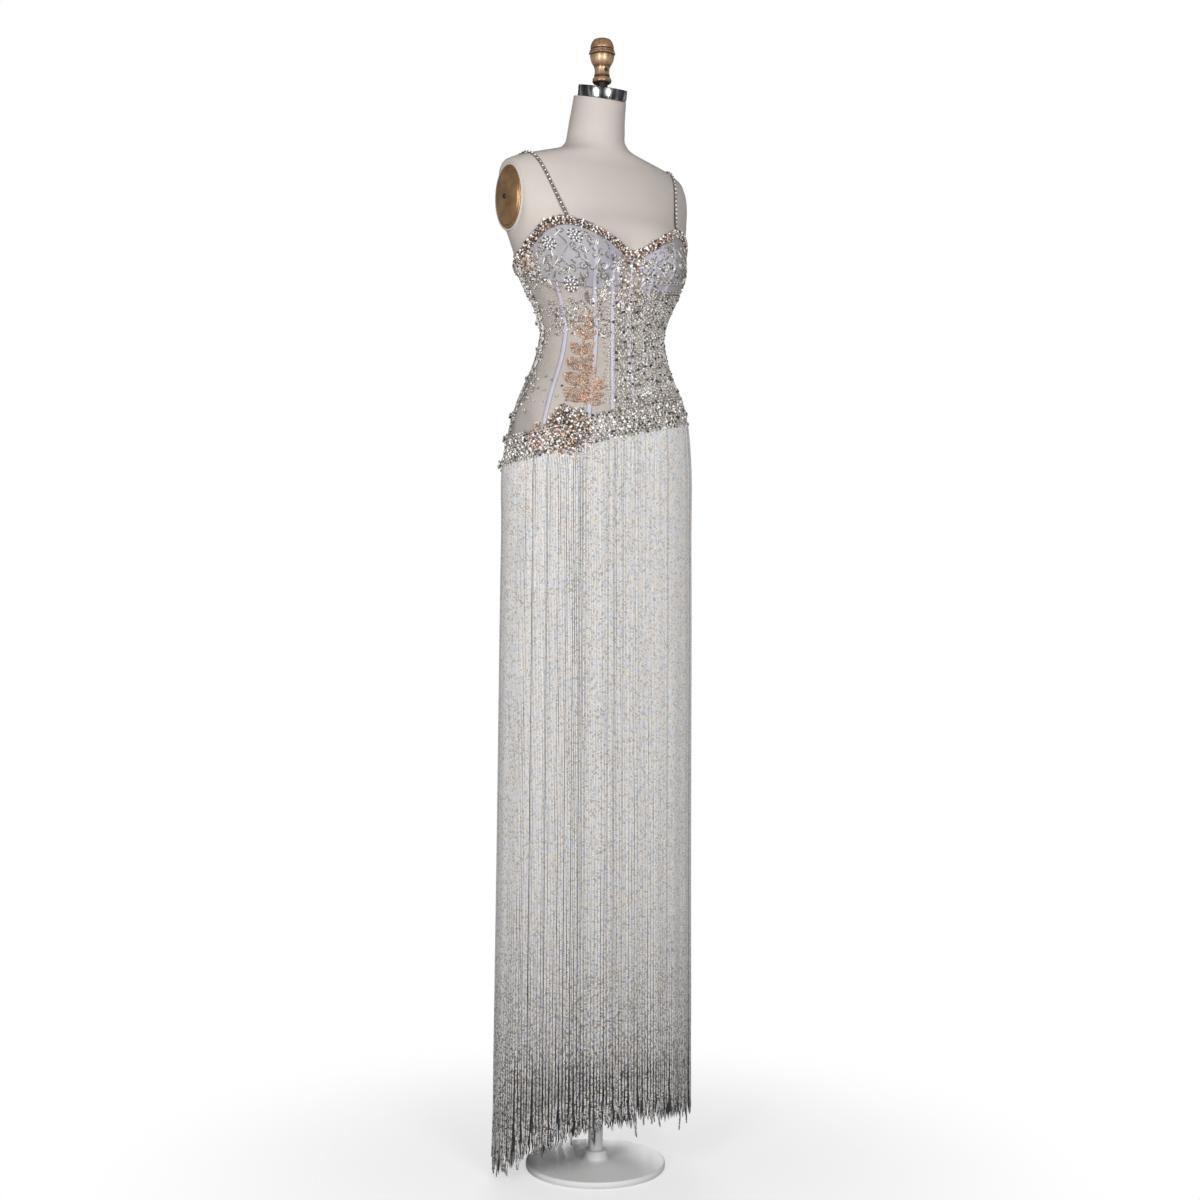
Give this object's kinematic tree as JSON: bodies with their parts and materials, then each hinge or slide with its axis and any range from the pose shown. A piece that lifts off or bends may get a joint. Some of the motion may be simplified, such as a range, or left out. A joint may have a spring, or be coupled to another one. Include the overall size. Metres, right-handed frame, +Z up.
{
  "type": "beaded fringe evening gown on a dress form",
  "caption": "Floor-length column gown with a sheer beaded corset bodice, thin straps, slanted bead belt and bead-fringe skirt, worn by a limbless dress form on a plain stand.",
  "frame": {"origin": "on the floor at the centre of the stand's base, on the pole's axis", "axes": "+Z up, -Y to the form's front, +X to the form's left"},
  "size_m": [0.3648, 0.2714, 1.9424],
  "materials": {
    "form_skin": "matte pale linen cover, painted",
    "polished_steel": "polished",
    "arm_plate_bronze": "satin bronze",
    "finial_gilt": "turned wood, gilded",
    "dark_post": "dark satin",
    "stand_base_white": "satin powder coat",
    "stand_pole_white": "satin powder coat",
    "nude_net": "sheer nude net",
    "lilac_lining": "pale lilac cup cloth",
    "boning_tape": "pale lilac satin tape",
    "silver_beads": "silver and olive-grey glass beads and stones",
    "rose_gold_beads": "rose-gold and silver glass beads and stones",
    "underskirt_cloth": "pale grey lining cloth",
    "fringe_beads": "strings of tiny silver-white glass beads"
  },
  "bodies": {
    "root": {"arm_plate_left": "arm_plate_bronze", "arm_plate_right": "arm_plate_bronze", "arm_plate_screw_left": "polished_steel", "arm_plate_screw_right": "polished_steel", "back_placket": "nude_net", "belt_left": "silver_beads", "belt_ornament": "rose_gold_beads", "belt_right": "silver_beads", "bodice_back_left": "nude_net", "bodice_back_right": "nude_net", "bodice_centre_front": "nude_net", "bodice_side_front_left": "nude_net", "bodice_side_front_right": "nude_net", "bodice_side_left": "nude_net", "bodice_side_right": "nude_net", "boning_01": "boning_tape", "boning_02": "boning_tape", "boning_03": "boning_tape", "boning_04": "boning_tape", "boning_05": "boning_tape", "boning_06": "boning_tape", "boning_07": "boning_tape", "boning_08": "boning_tape", "boning_09": "boning_tape", "boning_10": "boning_tape", "boning_11": "boning_tape", "cup_left": "lilac_lining", "cup_right": "lilac_lining", "finial": "finial_gilt", "finial_post": "dark_post", "form_torso": "form_skin", "fringe_back_left": "fringe_beads", "fringe_back_right": "fringe_beads", "fringe_front_left": "fringe_beads", "fringe_front_right": "fringe_beads", "neck_cap": "polished_steel", "neckline_trim_back_left": "rose_gold_beads", "neckline_trim_back_right": "rose_gold_beads", "neckline_trim_front_left": "rose_gold_beads", "neckline_trim_front_right": "rose_gold_beads", "stand_base": "stand_base_white", "stand_pole": "stand_pole_white", "strap_left": "silver_beads", "strap_right": "silver_beads", "underskirt_back": "underskirt_cloth", "underskirt_front": "underskirt_cloth"}
  },
  "joints": []
}
